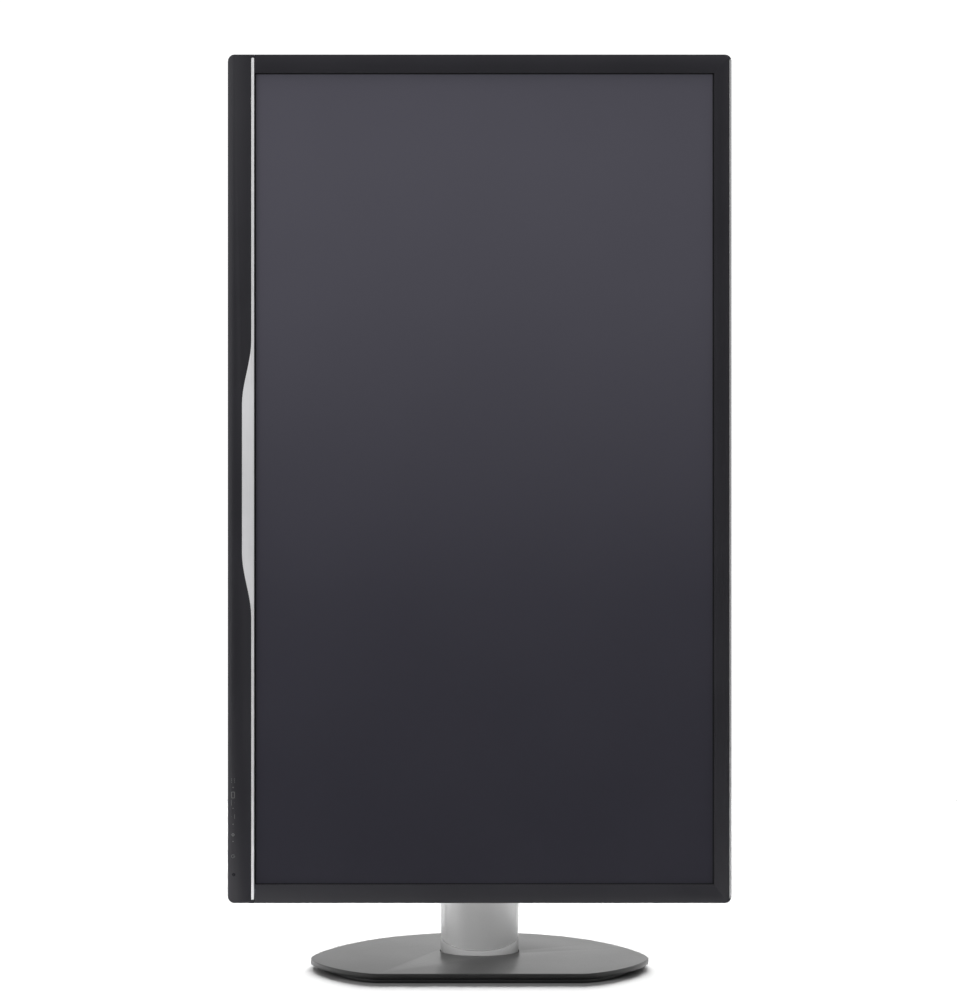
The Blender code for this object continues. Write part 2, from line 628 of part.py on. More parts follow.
def build_buttons(chin):
    """Five push buttons in the chin's outer wall, each with its origin on its own slide."""
    half_z = 4.6
    y = (-113.4, -109.4)
    for index, dz in enumerate(BUTTON_Z, start=1):
        z = CENTRE_Z + dz
        window_y = (y[0] - GAP, y[1] + GAP)
        window_z = (z - half_z - GAP, z + half_z + GAP)
        cut_block(chin, f"button_{index}", (LOW_X - 5, LOW_X + 5), window_y, window_z)
        outline = rounded(y[0], y[1], z - half_z, z + half_z, 1.2, 3)
        face = inset(outline, 0.4)
        rings = [at_x(face, LOW_X), at_x(outline, LOW_X + 0.4), at_x(outline, LOW_X + 4.2)]
        name = "power_button" if index == len(BUTTON_Z) else f"menu_button_{index}"
        solid(name, rings, "dark_plastic", (LOW_X, sum(y) / 2, z))


def main():
    for old in list(bpy.data.objects):
        bpy.data.objects.remove(old, do_unlink=True)
    build_base()
    build_column()
    build_post()
    build_tilt_head()
    build_mount()
    build_rear_cover()
    build_bay()
    build_electronics()
    build_panel()
    build_bezel()


main()
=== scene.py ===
import json
import math

import bmesh
import bpy
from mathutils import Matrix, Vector

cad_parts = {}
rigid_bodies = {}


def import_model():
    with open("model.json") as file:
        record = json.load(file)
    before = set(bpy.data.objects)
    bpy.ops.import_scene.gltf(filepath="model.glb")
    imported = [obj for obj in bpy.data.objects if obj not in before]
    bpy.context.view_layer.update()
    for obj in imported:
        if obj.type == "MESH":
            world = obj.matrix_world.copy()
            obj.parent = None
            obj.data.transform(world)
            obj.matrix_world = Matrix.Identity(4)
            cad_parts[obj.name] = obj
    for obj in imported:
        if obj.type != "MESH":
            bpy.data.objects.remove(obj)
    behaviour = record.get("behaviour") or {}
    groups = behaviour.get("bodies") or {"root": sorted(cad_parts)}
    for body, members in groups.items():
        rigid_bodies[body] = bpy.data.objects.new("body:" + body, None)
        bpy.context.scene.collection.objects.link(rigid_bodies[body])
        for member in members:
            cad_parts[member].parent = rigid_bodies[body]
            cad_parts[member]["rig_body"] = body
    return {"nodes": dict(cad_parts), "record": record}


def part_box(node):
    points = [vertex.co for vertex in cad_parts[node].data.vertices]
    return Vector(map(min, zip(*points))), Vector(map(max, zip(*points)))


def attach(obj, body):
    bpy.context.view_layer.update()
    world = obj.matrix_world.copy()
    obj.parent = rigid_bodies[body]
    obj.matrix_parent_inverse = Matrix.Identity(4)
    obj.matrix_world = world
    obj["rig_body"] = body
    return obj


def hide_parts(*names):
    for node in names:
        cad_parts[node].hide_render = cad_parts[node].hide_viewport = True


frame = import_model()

MM = 0.001
scene = bpy.context.scene
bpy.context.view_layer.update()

# Driving places, worked out from the frame's boxes and the widths of the bezel's sides
BEZEL_SIDE = 15.15 * MM
BEZEL_END = 16.1 * MM
frame_low, frame_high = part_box("bezel_frame")
chin_low, chin_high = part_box("bezel_chin")
rear_low, rear_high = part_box("rear_cover")
glass_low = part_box("lcd_glass")[0]
CENTRE_Z = (rear_low.z + rear_high.z) / 2
FRONT_Y = frame_low.y
SCREEN_HIGH_X = frame_high.x - BEZEL_SIDE
SCREEN_HALF_LONG = (frame_high.z - frame_low.z) / 2 - BEZEL_END


# Camera: level, in front of the display and a little below its middle

CAMERA_DISTANCE = 2.86
CAMERA_SIDEWAYS = -1.0 * MM
CAMERA_BELOW_CENTRE = 18.55 * MM
FRAME_HEIGHTS_PER_METRE = 1.14363       # of the picture, at the display's front


def build_camera():
    """The camera, level and looking along +Y, at the photograph's distance and framing."""
    focal_in_frame_heights = FRAME_HEIGHTS_PER_METRE * CAMERA_DISTANCE
    data = bpy.data.cameras.new("camera")
    data.sensor_width = 36.0
    data.lens = data.sensor_width * focal_in_frame_heights
    data.clip_end = 100.0
    camera = bpy.data.objects.new("camera", data)
    camera.location = (CAMERA_SIDEWAYS, FRONT_Y - CAMERA_DISTANCE, CENTRE_Z - CAMERA_BELOW_CENTRE)
    camera.rotation_euler = (math.radians(90), 0, 0)
    scene.collection.objects.link(camera)
    scene.camera = camera
    scene.view_settings.view_transform = "Standard"


# Node helpers

def node(tree, kind, **values):
    """A new node: in_NAME or in_INDEX sets an input, everything else an attribute."""
    made = tree.nodes.new(kind)
    for key, value in values.items():
        if key.startswith("in_"):
            name = key[3:]
            which = int(name) if name.isdigit() else name.replace("_", " ")
            made.inputs[which].default_value = value
        else:
            setattr(made, key, value)
    return made


def ramp(tree, source, low, high, start, end, smooth=False):
    """The source mapped from low..high to start..end, and clamped."""
    made = node(tree, "ShaderNodeMapRange", in_1=low, in_2=high, in_3=start, in_4=end)
    if smooth:
        made.interpolation_type = "SMOOTHSTEP"
    tree.links.new(source, made.inputs[0])
    return made.outputs[0]


def maths(tree, operation, first, second):
    """Two sockets or numbers put through one operation."""
    made = node(tree, "ShaderNodeMath", operation=operation)
    for index, value in enumerate((first, second)):
        if isinstance(value, float):
            made.inputs[index].default_value = value
        else:
            tree.links.new(value, made.inputs[index])
    return made.outputs[0]


# Studio: a surround that is bright but for the front, a floor lit to white, and soft lights

def build_world():
    """A surround that reflects dark in front of the screen, and shows plain white to the camera."""
    world = bpy.data.worlds.new("studio")
    scene.world = world
    world.use_nodes = True
    tree = world.node_tree
    tree.nodes.clear()
    link = tree.links.new
    direction = node(tree, "ShaderNodeTexCoord")
    parts = node(tree, "ShaderNodeSeparateXYZ")
    link(direction.outputs["Generated"], parts.inputs[0])
    around = ramp(tree, parts.outputs["Y"], -0.97, -0.2, 0.12, 1.0)
    above = ramp(tree, parts.outputs["Z"], 0.35, 0.95, 0.0, 0.85, smooth=True)
    lit = node(tree, "ShaderNodeBackground", in_0=(1.0, 1.0, 1.0, 1.0))
    link(maths(tree, "MAXIMUM", around, above), lit.inputs[1])
    backdrop = node(tree, "ShaderNodeBackground", in_0=(1.0, 1.0, 1.0, 1.0), in_1=1.1)
    path = node(tree, "ShaderNodeLightPath")
    mix = node(tree, "ShaderNodeMixShader")
    link(path.outputs["Is Camera Ray"], mix.inputs[0])
    link(lit.outputs[0], mix.inputs[1])
    link(backdrop.outputs[0], mix.inputs[2])
    output = node(tree, "ShaderNodeOutputWorld")
    link(mix.outputs[0], output.inputs[0])


def build_floor():
    """A pale sheet, and a low soft light of its own that draws only the base's contact shadow.

    It ends a little in front of the base, so that the screen doesn't reflect it. The collection
    that comes back holds the pieces that cast the shadow.
    """
    side = 1.3
    front = -0.32
    back = 1.6
    from_vertical = math.radians(79)
    mesh = bpy.data.meshes.new("floor")
    corners = [(-side, front, 0), (side, front, 0), (side, back, 0), (-side, back, 0)]
    mesh.from_pydata(corners, [], [(0, 1, 2, 3)])
    floor = bpy.data.objects.new("floor", mesh)
    scene.collection.objects.link(floor)
    paper = bpy.data.materials.new("pale_floor")
    paper.use_nodes = True
    shader = paper.node_tree.nodes["Principled BSDF"]
    shader.inputs["Base Color"].default_value = (0.12, 0.12, 0.12, 1.0)
    shader.inputs["Roughness"].default_value = 1.0
    shader.inputs["Specular IOR Level"].default_value = 0.0
    mesh.materials.append(paper)

    data = bpy.data.lights.new("floor_light", "SUN")
    data.energy = 138.0
    data.angle = math.radians(34)
    light = bpy.data.objects.new("floor_light", data)
    light.rotation_euler = (-from_vertical, 0, 0)
    scene.collection.objects.link(light)
    lit = bpy.data.collections.new("lit_by_floor_light")
    lit.objects.link(floor)
    light.light_linking.receiver_collection = lit
    casting = bpy.data.collections.new("shading_floor_light")
    for name in ("base_cover", "base_plinth"):
        casting.objects.link(frame["nodes"][name])
    light.light_linking.blocker_collection = casting
    return casting


# Soft boxes aimed at the middle of the display: name, place, size and power in watts
SOFT_BOXES = (
    ("key", (-2.6, -2.2, 1.0), (2.6, 2.6), 72.0),
    ("stand_fill", (0.3, -2.4, 0.15), (2.4, 0.5), 24.0),
    ("collar_fill", (0.1, -1.6, 0.35), (0.4, 0.3), 34.0),
    ("overhead_strip", (0.0, -0.3, 2.4), (1.8, 0.5), 16.0),
)


def build_lights():
    """The sky and the soft boxes. Each fill lights only the pieces put in its collection."""
    overhead = bpy.data.lights.new("overhead", "SUN")
    overhead.energy = 0.6
    overhead.angle = math.radians(80)
    lamp = bpy.data.objects.new("overhead", overhead)
    lamp.rotation_euler = (math.radians(8), math.radians(-6), 0)
    scene.collection.objects.link(lamp)
    target = Vector((0.0, 0.0, CENTRE_Z))
    lit_only = {}
    for name, place, size, power in SOFT_BOXES:
        data = bpy.data.lights.new(name, "AREA")
        data.shape = "RECTANGLE"
        data.size, data.size_y = size
        data.energy = power
        lamp = bpy.data.objects.new(name, data)
        lamp.location = place
        lamp.rotation_euler = (target - lamp.location).to_track_quat("-Z", "Y").to_euler()
        scene.collection.objects.link(lamp)
        lamp.visible_glossy = name == "overhead_strip"
        if name.endswith("_fill"):
            lit_only[name] = bpy.data.collections.new("lit_by_" + name)
            lamp.light_linking.receiver_collection = lit_only[name]
    return lit_only


# Materials

def surface(name, colour, roughness, metallic=0.0, specular=0.5, vary=0.08, rough_vary=0.05,
            grain=1500.0, stretch=(1.0, 1.0, 1.0), bump=0.1, depth=0.1 * MM, anisotropic=0.0,
            coat=0.0):
    """A Principled material whose colour, roughness and relief follow a fine and a broad noise."""
    made = bpy.data.materials.new(name)
    made.use_nodes = True
    tree = made.node_tree
    link = tree.links.new
    shader = tree.nodes["Principled BSDF"]
    shader.inputs["Metallic"].default_value = metallic
    shader.inputs["Specular IOR Level"].default_value = specular
    shader.inputs["Anisotropic"].default_value = anisotropic
    shader.inputs["Coat Weight"].default_value = coat
    where = node(tree, "ShaderNodeTexCoord")
    mapping = node(tree, "ShaderNodeMapping", in_Scale=stretch)
    link(where.outputs["Object"], mapping.inputs["Vector"])
    fine = node(tree, "ShaderNodeTexNoise", in_Scale=grain, in_Detail=3.0, in_Roughness=0.55)
    link(mapping.outputs[0], fine.inputs["Vector"])
    broad = node(tree, "ShaderNodeTexNoise", in_Scale=11.0, in_Detail=4.0)
    link(where.outputs["Object"], broad.inputs["Vector"])
    both = maths(tree, "ADD", fine.outputs["Fac"], broad.outputs["Fac"])
    tone = node(tree, "ShaderNodeMix", data_type="RGBA")
    tone.inputs[6].default_value = (*[c * (1 - vary) for c in colour], 1.0)
    tone.inputs[7].default_value = (*[c * (1 + vary) for c in colour], 1.0)
    link(ramp(tree, both, 0.7, 1.3, 0.0, 1.0), tone.inputs[0])
    link(tone.outputs[2], shader.inputs["Base Color"])
    rough = ramp(tree, both, 0.7, 1.3, roughness - rough_vary, roughness + rough_vary)
    link(rough, shader.inputs["Roughness"])
    relief = node(tree, "ShaderNodeBump", in_Strength=bump, in_Distance=depth)
    link(fine.outputs["Fac"], relief.inputs["Height"])
    link(relief.outputs[0], shader.inputs["Normal"])
    return made


def moulded(name, colour, roughness, cell, pitting, vary=0.10):
    """Moulded plastic with a spark-eroded grain: shallow pits round cells of this size in metres."""
    made = surface(name, colour, roughness, vary=vary, grain=1.6 / cell, bump=0.08)
    tree = made.node_tree
    link = tree.links.new
    shader = tree.nodes["Principled BSDF"]
    where = node(tree, "ShaderNodeTexCoord")
    cells = node(tree, "ShaderNodeTexVoronoi", feature="SMOOTH_F1", in_Scale=1.0 / cell,
                 in_Smoothness=0.6)
    link(where.outputs["Object"], cells.inputs["Vector"])
    under = shader.inputs["Normal"].links[0].from_socket
    pits = node(tree, "ShaderNodeBump", invert=True, in_Strength=pitting, in_Distance=0.12 * MM)
    link(cells.outputs["Distance"], pits.inputs["Height"])
    link(under, pits.inputs["Normal"])
    link(pits.outputs[0], shader.inputs["Normal"])
    return made


def screen_surface():
    """Antiglare film over the unlit panel. Its colour darkens down the screen, as in the photo: a painted
    reflection, brighter at the top, that stands in for the studio's light.
    """
    made = surface("screen_film", (0.03, 0.03, 0.03), 0.34, vary=0.0, rough_vary=0.03, grain=2600.0,
                   bump=0.05, depth=0.03 * MM)
    tree = made.node_tree
    link = tree.links.new
    shader = tree.nodes["Principled BSDF"]
    where = node(tree, "ShaderNodeTexCoord")
    parts = node(tree, "ShaderNodeSeparateXYZ")
    link(where.outputs["Object"], parts.inputs[0])
    painted_reflection_ramp = node(tree, "ShaderNodeValToRGB")
    half = SCREEN_HALF_LONG
    up = ramp(tree, parts.outputs["Z"], CENTRE_Z - half, CENTRE_Z + half, 0.0, 1.0)
    link(up, painted_reflection_ramp.inputs[0])
    # Painted reflection: colours from the screen's foot to its top, lighter upwards
    stops = ((0.0, (0.0180, 0.0172, 0.0253)), (0.35, (0.0335, 0.0323, 0.0440)),
             (0.72, (0.0655, 0.0632, 0.0808)), (0.90, (0.0735, 0.0710, 0.0900)))
    ramp_stops = painted_reflection_ramp.color_ramp.elements
    for place, colour in stops[1:-1]:
        ramp_stops.new(place)
    for stop, (place, colour) in zip(ramp_stops, stops):
        stop.position = place
        stop.color = (*colour, 1.0)
    mottle = node(tree, "ShaderNodeTexNoise", in_Scale=5.0, in_Detail=2.0)
    link(where.outputs["Object"], mottle.inputs["Vector"])
    tint = node(tree, "ShaderNodeMix", data_type="RGBA", blend_type="MULTIPLY", in_0=1.0)
    link(painted_reflection_ramp.outputs[0], tint.inputs[6])
    soft = node(tree, "ShaderNodeCombineColor")
    for index in range(3):
        link(ramp(tree, mottle.outputs["Fac"], 0.3, 0.7, 0.97, 1.03), soft.inputs[index])
    link(soft.outputs[0], tint.inputs[7])
    link(tint.outputs[2], shader.inputs["Base Color"])
    return made


MATERIALS = {
    "bezel_plastic": moulded("bezel_black", (0.0150, 0.0144, 0.0186), 0.46, 0.55 * MM, 0.05),
    "rear_plastic": moulded("rear_black", (0.0155, 0.0155, 0.0170), 0.52, 0.9 * MM, 0.45, vary=0.14),
    "head_plastic": moulded("head_black", (0.016, 0.016, 0.017), 0.48, 0.8 * MM, 0.35),
    "button_plastic": moulded("button_black", (0.028, 0.028, 0.031), 0.36, 0.4 * MM, 0.05),
    "plinth_plastic": moulded("plinth_black", (0.012, 0.012, 0.0125), 0.55, 0.9 * MM, 0.3),
    "inlet_plastic": moulded("inlet_black", (0.014, 0.014, 0.014), 0.45, 0.5 * MM, 0.15),
    "base_metal": surface("base_lacquer", (0.0125, 0.0125, 0.0125), 0.30, grain=900, bump=0.05,
                          rough_vary=0.025, specular=0.31, vary=0.12, depth=0.05 * MM),
    "column_metal": surface("column_satin", (0.74, 0.74, 0.74), 0.40, metallic=0.4, vary=0.03, grain=2600,
                            bump=0.05, stretch=(1.0, 1.0, 0.3)),
    "silver_trim": surface("trim_silver", (0.90, 0.90, 0.915), 0.46, metallic=0.55, vary=0.05, grain=900,
                           bump=0.05, stretch=(4.0, 4.0, 0.04), anisotropic=0.3),
    "screen_glass": screen_surface(),
    "steel": surface("zinc_steel", (0.50, 0.51, 0.52), 0.36, metallic=1.0, vary=0.14, grain=420, bump=0.06,
                     rough_vary=0.09),
    "rubber": surface("foot_rubber", (0.018, 0.018, 0.018), 0.85, grain=900, bump=0.4, specular=0.25),
    "nylon": surface("natural_nylon", (0.62, 0.61, 0.57), 0.55, vary=0.05, grain=700, bump=0.1),
    "clear_sheet": surface("milky_acrylic", (0.80, 0.81, 0.83), 0.30, vary=0.03, grain=500, bump=0.03),
    "board": surface("solder_mask", (0.012, 0.075, 0.028), 0.35, vary=0.25, grain=300, bump=0.2),
    "socket_shell": surface("nickel_shell", (0.62, 0.61, 0.58), 0.28, metallic=1.0, vary=0.06, grain=700,
                            bump=0.05),
}
EXTRA = {
    "collar_metal": surface("collar_satin", (0.22, 0.22, 0.22), 0.42, metallic=0.1, vary=0.03, grain=2600,
                            bump=0.04, stretch=(1.0, 1.0, 0.3), specular=0.3),
    # A near-white copy of the column's finish for the sleeve's rounded rim: a painted highlight
    "rim": surface("sleeve_rim_painted_highlight", (0.95, 0.95, 0.95), 0.25, vary=0.02, grain=2600, bump=0.02),
    "trim_edge": surface("trim_edge_silver", (0.46, 0.46, 0.465), 0.42, metallic=0.4, vary=0.05, grain=900,
                         bump=0.05, stretch=(4.0, 4.0, 0.04)),
    "print": surface("icon_print", (0.11, 0.11, 0.11), 0.55, vary=0.1, grain=2400),
    "lamp": surface("status_lens", (0.020, 0.020, 0.024), 0.16, vary=0.05, grain=1800, coat=0.5),
    "gasket": surface("screen_gasket", (0.0105, 0.0105, 0.0115), 0.7, vary=0.2, grain=900, specular=0.2),
    "gold": surface("contact_gold", (0.78, 0.56, 0.22), 0.30, metallic=1.0, vary=0.08, grain=900),
    "tongue": surface("contact_carrier", (0.016, 0.016, 0.017), 0.5, vary=0.1, grain=1500),
    "plate": moulded("rating_plate_grey", (0.045, 0.045, 0.048), 0.42, 0.4 * MM, 0.05),
}


# Building pieces

def arc(cx, cy, r, start, end, steps):
    angles = [math.radians(start + (end - start) * i / steps) for i in range(steps + 1)]
    return [(cx + r * math.cos(a), cy + r * math.sin(a)) for a in angles]


def circle(cx, cy, r, steps):
    return arc(cx, cy, r, 0, 360, steps)[:-1]


def rounded(x0, x1, y0, y1, r, steps=5):
    points = arc(x1 - r, y1 - r, r, 0, 90, steps) + arc(x0 + r, y1 - r, r, 90, 180, steps)
    return points + arc(x0 + r, y0 + r, r, 180, 270, steps) + arc(x1 - r, y0 + r, r, 270, 360, steps)


def at_x(points, x):
    return [(x, a, b) for a, b in points]


def at_y(points, y):
    return [(a, y, b) for a, b in points]


def loft(bodies, closed=False):
    """A mesh of one or more solids, each lofted through its rings of points."""
    shape = bmesh.new()
    for rings in bodies:
        loops = [[shape.verts.new(p) for p in ring] for ring in rings]
        pairs = list(zip(loops, loops[1:]))
        if closed:
            pairs.append((loops[-1], loops[0]))
        else:
            shape.faces.new(loops[0])
            shape.faces.new(loops[-1])
        for near, far in pairs:
            for i in range(len(near)):
                j = (i + 1) % len(near)
                shape.faces.new((near[i], near[j], far[j], far[i]))
    bmesh.ops.recalc_face_normals(shape, faces=shape.faces)
    return shape


def piece(name, shape, slot, body, replaces=(), material=None, sharp=35, bevel=0.0, segments=2):
    """A visible piece from a bmesh, with rounded or else sharp edges, its material and its body."""
    mesh = bpy.data.meshes.new(name)
    shape.to_mesh(mesh)
    shape.free()
    made = bpy.data.objects.new(name, mesh)
    scene.collection.objects.link(made)
    mesh.materials.append(material or MATERIALS[slot])
    mesh.shade_smooth()
    if bevel:
        soften(made, bevel, segments)
    else:
        mesh.set_sharp_from_angle(angle=math.radians(sharp))
    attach(made, body)
    if replaces:
        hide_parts(*replaces)
    return made


def soften(made, width, segments=2, angle=30):
    """Round the edges that turn by more than an angle in degrees."""
    rounding = made.modifiers.new("rounding", "BEVEL")
    rounding.width = width
    rounding.segments = segments
    rounding.limit_method = "ANGLE"
    rounding.angle_limit = math.radians(angle)
    rounding.harden_normals = True
    rounding.miter_outer = "MITER_ARC"


def steady(made):
    """Normals that follow the large faces, so that a flat stays flat beside a small curve."""
    normals = made.modifiers.new("steady_normals", "WEIGHTED_NORMAL")
    normals.mode = "FACE_AREA"
    normals.weight = 80
    normals.keep_sharp = True


SLOT_OF = {part["node"]: part["material_slot"] for part in frame["record"]["subparts"]}


def finished(name, width, segments=2, material=None, whole_faces=True):
    """The CAD node's own shape with its edges rounded, and its flat faces made whole if asked."""
    source = frame["nodes"][name]
    shape = bmesh.new()
    shape.from_mesh(source.data)
    bmesh.ops.remove_doubles(shape, verts=shape.verts, dist=0.001 * MM)
    if whole_faces:
        flat = math.radians(0.6)
        bmesh.ops.dissolve_limit(shape, angle_limit=flat, verts=shape.verts, edges=shape.edges)
    return piece(name + "_finished", shape, SLOT_OF[name], source["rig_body"], [name], material,
                 bevel=width, segments=segments)


# How far each node's edges are rounded, in millimetres
EDGES = {
    "bezel_frame": 0.40, "bezel_chin": 0.30, "accent_strip": 0.12, "socket_bay": 0.4,
    "head_cover": 0.4, "tilt_head": 0.8, "vesa_plate": 0.5, "base_plinth": 0.4,
    "head_bracket": 0.5, "pivot_spindle": 0.5, "pivot_nut": 0.5, "tilt_shaft": 0.6,
    "power_inlet": 0.3, "lift_post": 0.5, "column_sleeve": 0.45, "menu_button_1": 0.3,
    "menu_button_2": 0.3, "menu_button_3": 0.3, "menu_button_4": 0.3, "power_button": 0.3,
}


# Front of the display

def chin_y(x):
    """Depth of the chin's front at x: flat, then falling away towards the outer edge."""
    fall_width = 6.2 * MM
    fall_depth = 1.8 * MM
    return FRONT_Y + fall_depth * max(0.0, (chin_low.x + fall_width - x) / fall_width) ** 2


def printed(name, outlines, thickness=0.04 * MM):
    """Marks printed on the chin, from closed outlines of (x, z) points."""
    bodies = []
    for outline in outlines:
        front = [(x, chin_y(x) - thickness, z) for x, z in outline]
        back = [(x, chin_y(x) + thickness, z) for x, z in outline]
        bodies.append([front, back])
    piece(name, loft(bodies), "bezel_plastic", "display", material=EXTRA["print"])


def band(outer, inner):
    """Quadrilaterals between two outlines with as many points."""
    count = len(outer)
    return [[outer[i], outer[(i + 1) % count], inner[(i + 1) % count], inner[i]] for i in range(count)]


# Heights of the marks beside the controls, in mm from the display's middle
LIST_LINES_Z = (-262.5, -264.0, -265.5)
WINDOW_Z = (-279.4, -273.6)
UP_Z = (-285.9, -280.6)
DOWN_Z = -295.4
SELECT_Z = -311.3
POWER_Z = -330.1
LAMP_Z = -346.2
DOTS_Z = (-269.9, -288.2, -302.1, -317.1)


def build_icons():
    """Faint generic icons beside the buttons, a dot for each, and the power ring."""
    x = chin_low.x + 4.7 * MM
    half = 1.6 * MM
    line = 0.6 * MM
    left = x - half
    right = x + half

    thick = 0.45 * MM
    heights = [CENTRE_Z + dz * MM for dz in LIST_LINES_Z]
    printed("icon_list", [rounded(left, right, z - thick, z + thick, 0.2 * MM, 2) for z in heights])

    low, high = [CENTRE_Z + dz * MM for dz in UP_Z]
    printed("icon_up", [[(left, low), (right, (low + high) / 2), (left, high)]])

    low, high = [CENTRE_Z + dz * MM for dz in WINDOW_Z]
    outer = rounded(left, right, low, high, 0.5 * MM, 2)
    inner = rounded(left + line, right - line, low + line, high - line, 0.3 * MM, 2)
    printed("icon_window", band(outer, inner))

    z = CENTRE_Z + DOWN_Z * MM
    tall = 2.0 * MM
    printed("icon_down", [[(right, z - tall), (right, z + tall), (left, z)]])

    z = CENTRE_Z + SELECT_Z * MM
    printed("icon_select", band(diamond(x, z, half), diamond(x, z, half - line * 1.4)))

    z = CENTRE_Z + POWER_Z * MM
    steps = 18
    outer = arc(x, z, 1.6 * MM, 35, 325, steps)
    inner = arc(x, z, 1.2 * MM, 35, 325, steps)
    ring = [[outer[i], outer[i + 1], inner[i + 1], inner[i]] for i in range(steps)]
    bar = rounded(x + 0.3 * MM, x + 1.9 * MM, z - 0.2 * MM, z + 0.2 * MM, 0.1 * MM, 2)
    printed("icon_power", ring + [bar])

    dots = [circle(x, CENTRE_Z + dz * MM, 0.55 * MM, 12) for dz in DOTS_Z]
    printed("button_dots", dots)


def diamond(x, z, half):
    return [(x + half, z), (x, z + half), (x - half, z), (x, z - half)]


def build_status_lamp():
    """A small lens in the chin, unlit."""
    x = chin_low.x + 5.3 * MM
    z = CENTRE_Z + LAMP_Z * MM
    y = chin_y(x)
    profile = ((1.5, -0.10), (1.2, -0.18), (0.6, -0.22))
    rings = [at_y(circle(x, z, 1.5 * MM, 20), y + 0.3 * MM)]
    rings += [at_y(circle(x, z, r * MM, 20), y + d * MM) for r, d in profile]
    piece("status_lamp", loft([rings]), "bezel_plastic", "display", material=EXTRA["lamp"])


def build_gasket():
    """The thin dark foam line between the glass and the bezel."""
    inset = 1.0 * MM
    lap = 0.6 * MM
    x0 = chin_high.x + 0.1 * MM
    x1 = SCREEN_HIGH_X
    z0 = CENTRE_Z - SCREEN_HALF_LONG
    z1 = CENTRE_Z + SCREEN_HALF_LONG
    front = glass_low.y - 0.25 * MM
    back = glass_low.y - 0.03 * MM
    inner = rounded(x0 + inset, x1 - inset, z0 + inset, z1 - inset, 0.3 * MM, 1)
    outer = rounded(x0, x1 + lap, z0 - lap, z1 + lap, 0.3 * MM, 1)
    rings = [at_y(outer, back), at_y(outer, front), at_y(inner, front + 0.1 * MM), at_y(inner, back)]
    piece("screen_gasket", loft([rings], closed=True), "screen_glass", "display", material=EXTRA["gasket"])


# Rear of the display

def rectangle_turned(cx, cy, half_a, half_b, degrees):
    """The corners of a rectangle turned about its middle."""
    angle = math.radians(degrees)
    along = Vector((math.cos(angle), math.sin(angle)))
    across = Vector((-along.y, along.x))
    corners = ((1, -1), (1, 1), (-1, 1), (-1, -1))
    return [tuple(Vector((cx, cy)) + along * half_a * a + across * half_b * b) for a, b in corners]


def carved(name, shape, cutters, slot, body, replaces=(), material=None, bevel=0.0):
    """A piece with other shapes cut out of it, worked out at once so that no cutter is left."""
    mesh = bpy.data.meshes.new(name + "_blank")
    shape.to_mesh(mesh)
    shape.free()
    blank = bpy.data.objects.new(name + "_blank", mesh)
    scene.collection.objects.link(blank)
    tools = []
    for index, cutter in enumerate(cutters):
        tool_mesh = bpy.data.meshes.new(f"{name}_tool_{index}")
        cutter.to_mesh(tool_mesh)
        cutter.free()
        tool = bpy.data.objects.new(f"{name}_tool_{index}", tool_mesh)
        scene.collection.objects.link(tool)
        tools.append(tool)
        cut = blank.modifiers.new(f"cut_{index}", "BOOLEAN")
        cut.object = tool
    graph = bpy.context.evaluated_depsgraph_get()
    result = bmesh.new()
    result.from_mesh(blank.evaluated_get(graph).to_mesh())
    for used in tools + [blank]:
        bpy.data.objects.remove(used)
    return piece(name, result, slot, body, replaces, material, bevel=bevel)


def build_plate_screws():
    """Pan-head screws with a cross recess, which hold the stand's plate."""
    for index in range(1, 5):
        name = f"plate_screw_{index}"
        low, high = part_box(name)
        x = (low.x + high.x) / 2
        z = (low.z + high.z) / 2
        r = (high.x - low.x) / 2
        tall = high.y - low.y
        profile = ((1.0, 0.0), (1.0, 0.30), (0.93, 0.62), (0.76, 0.88), (0.5, 1.0))
        rings = [at_y(circle(x, z, r * part, 28), low.y + tall * up) for part, up in profile]
        recess = []
        for turn in (0.0, 90.0):
            corners = rectangle_turned(x, z, r * 0.62, r * 0.15, turn + 12.0 * index)
            recess.append([at_y(corners, low.y + tall * 0.25), at_y(corners, low.y + tall * 1.3)])
        carved(name + "_head", loft([rings]), [loft([cut]) for cut in recess], "steel", "display", [name])


# Sockets: the corners cut off the shell in mm, and the contacts on each side of the tongue
SOCKETS = {
    "hdmi_socket_1": (2.2, 10), "hdmi_socket_2": (2.2, 10), "display_socket": (1.6, 10),
    "usb_hub_inlet": (2.6, 2), "usb_socket_1": (0.0, 4), "usb_socket_2": (0.0, 4),
}
SHELL_WALL = 0.6 * MM
SHELL_LIP = 0.35 * MM          # how far the mouth's inner edge is set back
SOCKET_END = 2.0 * MM          # thickness of the shell's closed end
TONGUE_SETBACK = 1.6 * MM
TONGUE_ROOM = 2.0 * MM         # from the tongue's end to the shell's outside


def build_sockets():
    """Each socket's metal shell, its tongue and the contacts on both sides of the tongue."""
    for name, (corner, contacts) in SOCKETS.items():
        low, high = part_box(name)
        build_shell(name, low, high, corner * MM)
        build_tongue(name, low, high, contacts)


def build_shell(name, low, high, corner):
    wall = SHELL_WALL
    deep = high.x - SOCKET_END
    outer = socket_outline(low.y, high.y, low.z, high.z, corner)
    inner = socket_outline(low.y + wall, high.y - wall, low.z + wall, high.z - wall,
                           corner - wall / 2)
    rings = [at_x(outer, high.x), at_x(outer, low.x), at_x(inner, low.x + SHELL_LIP),
             at_x(inner, deep)]
    piece(name + "_shell", loft([rings]), "socket_shell", "display", [name], sharp=30)


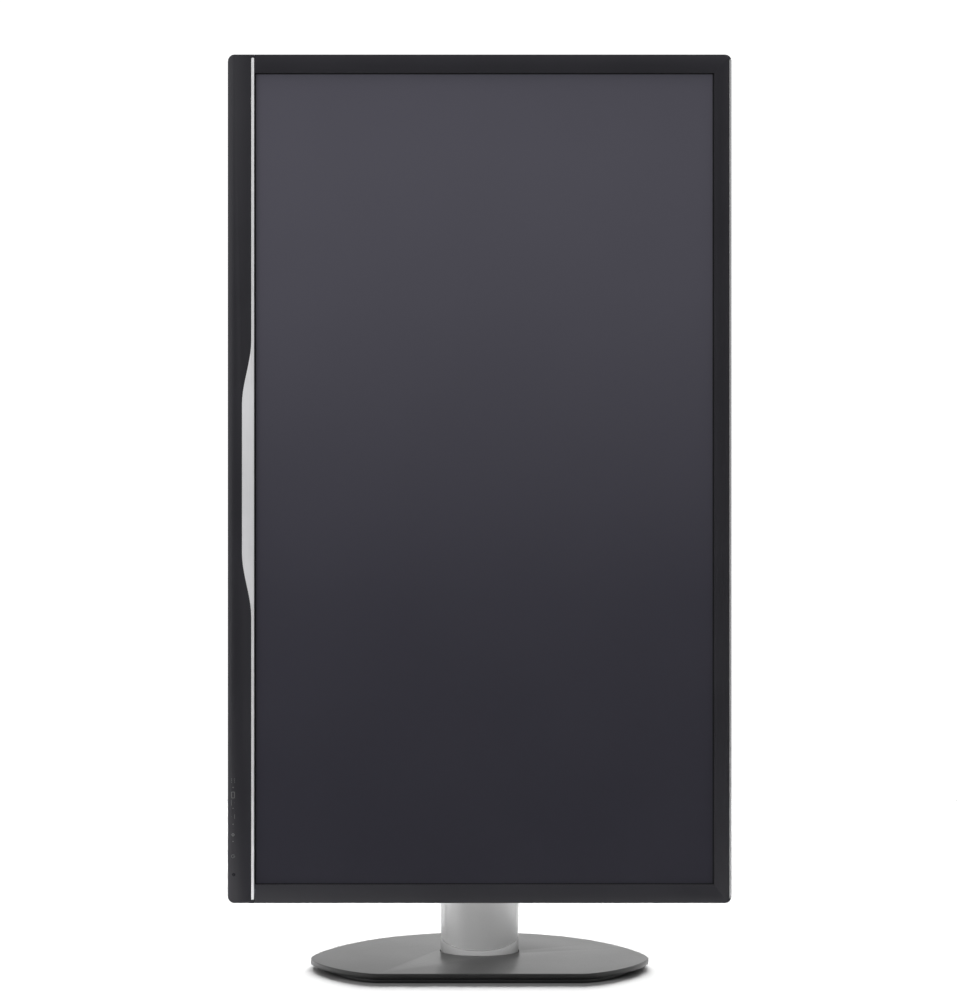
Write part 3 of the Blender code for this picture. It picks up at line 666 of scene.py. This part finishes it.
def build_tongue(name, low, high, contacts):
    """The tongue, which is thick in the hub inlet, and its strips of contacts."""
    middle_y = (low.y + high.y) / 2
    middle_z = (low.z + high.z) / 2
    half_z = (high.z - low.z) / 2 - TONGUE_ROOM
    half_y = 1.6 * MM if name == "usb_hub_inlet" else 0.55 * MM
    front = low.x + TONGUE_SETBACK
    deep = high.x - SOCKET_END
    tongue = rounded(middle_y - half_y, middle_y + half_y, middle_z - half_z, middle_z + half_z,
                     0.2 * MM, 2)
    piece(name + "_tongue", loft([[at_x(tongue, front), at_x(tongue, deep - 0.1 * MM)]]),
          "inlet_plastic", "display", material=EXTRA["tongue"])

    pitch = 2 * half_z / (contacts + 0.6)
    half_wide = pitch * 0.28
    half_thick = 0.08 * MM
    strips = []
    for side in (-1, 1):
        y = middle_y + side * half_y
        for i in range(contacts):
            z = middle_z + (i - (contacts - 1) / 2) * pitch
            strip = rounded(y - half_thick, y + half_thick, z - half_wide, z + half_wide,
                            0.05 * MM, 1)
            strips.append([at_x(strip, front + 0.5 * MM), at_x(strip, deep - 0.3 * MM)])
    piece(name + "_contacts", loft(strips), "socket_shell", "display", material=EXTRA["gold"])


def socket_outline(y0, y1, z0, z1, corner):
    """A rectangle with two corners cut off on its +Y side, and small radii on the others."""
    small = 0.4 * MM
    cut = max(corner, small)
    return [(y1, z1 - cut), (y1 - cut * 0.55, z1), (y0 + small, z1), (y0, z1 - small), (y0, z0 + small),
            (y0 + small, z0), (y1 - cut * 0.55, z0), (y1, z0 + cut)]


def build_rating_plate():
    """A blank plate that stands slightly proud of the rear cover."""
    back = rear_high.y
    x0, x1 = -48 * MM, 48 * MM
    z0, z1 = CENTRE_Z + 98 * MM, CENTRE_Z + 158 * MM
    outline = rounded(x0, x1, z0, z1, 3.0 * MM)
    edge = rounded(x0 + 0.3 * MM, x1 - 0.3 * MM, z0 + 0.3 * MM, z1 - 0.3 * MM, 2.8 * MM)
    rings = [at_y(outline, back - 0.1 * MM), at_y(outline, back + 0.12 * MM), at_y(edge, back + 0.2 * MM)]
    piece("rating_plate", loft([rings]), "rear_plastic", "display", material=EXTRA["plate"])


# Run

build_camera()
build_world()
lit_only = build_lights()
shadow_casters = build_floor()

for cad_name, width in EDGES.items():
    made = finished(cad_name, width * MM)
    if cad_name == "base_plinth":
        shadow_casters.objects.link(made)
    if cad_name in ("column_sleeve", "lift_post"):
        lit_only["stand_fill"].objects.link(made)
    if cad_name == "column_sleeve":
        # The sleeve's rounded rim takes the near-white material: a painted highlight along its lower edge
        made.data.materials.append(EXTRA["rim"])
        made.modifiers["rounding"].material = 1
collar = finished("swivel_collar", 0.15 * MM, material=EXTRA["collar_metal"])
lit_only["collar_fill"].objects.link(collar)
finished("top_trim", 0.15 * MM, material=EXTRA["trim_edge"])
steady(finished("rear_cover", 0.0, whole_faces=False))
shadow_casters.objects.link(finished("base_cover", 0.35 * MM, segments=3))
build_icons()
build_status_lamp()
build_gasket()
build_plate_screws()
build_sockets()
build_rating_plate()

for cad_name, cad_object in frame["nodes"].items():
    cad_object.data.materials.clear()
    cad_object.data.materials.append(MATERIALS[SLOT_OF[cad_name]])
